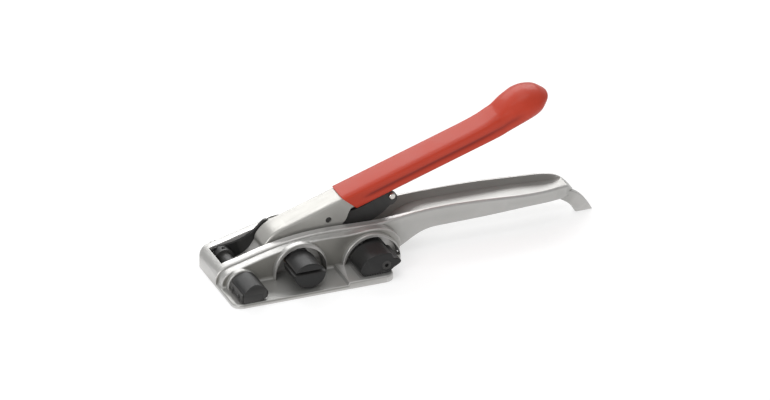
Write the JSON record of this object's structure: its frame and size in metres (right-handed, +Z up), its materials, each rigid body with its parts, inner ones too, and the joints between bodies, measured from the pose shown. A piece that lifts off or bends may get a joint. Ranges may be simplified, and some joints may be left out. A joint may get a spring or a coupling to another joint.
{
  "type": "strapping tensioner",
  "caption": "Hand strapping tensioner: open-sided cast frame, slotted windlass with ratchet lever, toothed gripper, nose cutter and trough handle with end hook.",
  "frame": {"origin": "underside of the base plate, below the windlass axis, in the middle of the base's width", "axes": "+X from the nose to the handles, +Z up from the base, -Y the open side that takes the strap"},
  "size_m": [0.282, 0.0769, 0.1039],
  "materials": {
    "cast_metal": "satin",
    "lever_metal": "satin",
    "black_steel": "satin",
    "hardened_steel": "satin",
    "bright_steel": "satin",
    "bronze": "satin",
    "spring_steel": "satin",
    "chrome": "gloss",
    "red_grip": "gloss"
  },
  "bodies": {
    "frame_body": {"frame": "cast_metal", "gripper_anvil": "hardened_steel", "gripper_anvil_screws": "bright_steel", "cutter_anvil": "hardened_steel", "cutter_anvil_screws": "bright_steel", "windlass_bush_near": "bronze", "windlass_bush_far": "bronze", "holding_pawl_pin": "bright_steel", "holding_pawl_spring": "spring_steel", "gripper_spring": "spring_steel"},
    "windlass": {"windlass_shaft": "black_steel", "ratchet_wheel": "hardened_steel", "ratchet_key": "bright_steel", "ratchet_spacers": "bright_steel", "thrust_washers": "bright_steel", "windlass_washer": "bright_steel", "windlass_retaining_ring": "bright_steel"},
    "lever": {"lever_channel": "lever_metal", "lever_grip": "red_grip", "drive_pawl_pin": "black_steel", "drive_pawl_spring": "spring_steel"},
    "drive_pawl": {"drive_pawl": "black_steel", "pawl_thumb_arm": "black_steel", "thumb_knob": "chrome"},
    "holding_pawl": {"holding_pawl": "black_steel"},
    "cutter": {"cutter_shaft": "black_steel", "cutter_block": "black_steel", "cutter_blade": "black_steel", "cutter_blade_screws": "black_steel", "cutter_arm": "black_steel", "cutter_arm_pin": "black_steel", "cutter_retaining_ring": "bright_steel"},
    "gripper": {"gripper_shaft": "black_steel", "gripper_cam": "black_steel", "gripper_screw": "black_steel", "gripper_retaining_ring": "bright_steel"}
  },
  "joints": [
    {"name": "windlass_spin", "type": "hinge", "parent": "frame_body", "child": "windlass", "pos_m": [0, 0.01725, 0.0155], "axis": [0, 1, 0], "continuous": true},
    {"name": "lever_swing", "type": "hinge", "parent": "frame_body", "child": "lever", "pos_m": [0, 0.01725, 0.0155], "axis": [0, -1, 0], "range_deg": [0, 60]},
    {"name": "drive_pawl_pivot", "type": "hinge", "parent": "lever", "child": "drive_pawl", "pos_m": [0.02891, 0.01725, 0.03096], "axis": [0, 1, 0], "range_deg": [0, 8], "stiffness_Nm_per_rad": 0.05, "springref_deg": 11.46},
    {"name": "holding_pawl_pivot", "type": "hinge", "parent": "frame_body", "child": "holding_pawl", "pos_m": [0.0198, 0.01725, 0.0095], "axis": [0, 1, 0], "range_deg": [0, 10], "stiffness_Nm_per_rad": 0.01, "springref_deg": 14.32},
    {"name": "cutter_pivot", "type": "hinge", "parent": "frame_body", "child": "cutter", "pos_m": [-0.042, 0.01725, 0.008], "axis": [0, 1, 0], "range_deg": [0, 6]},
    {"name": "gripper_pivot", "type": "hinge", "parent": "frame_body", "child": "gripper", "pos_m": [0.056, 0.01725, 0.0105], "axis": [0, 1, 0], "range_deg": [0, 18], "stiffness_Nm_per_rad": 0.05, "springref_deg": -11.46}
  ]
}
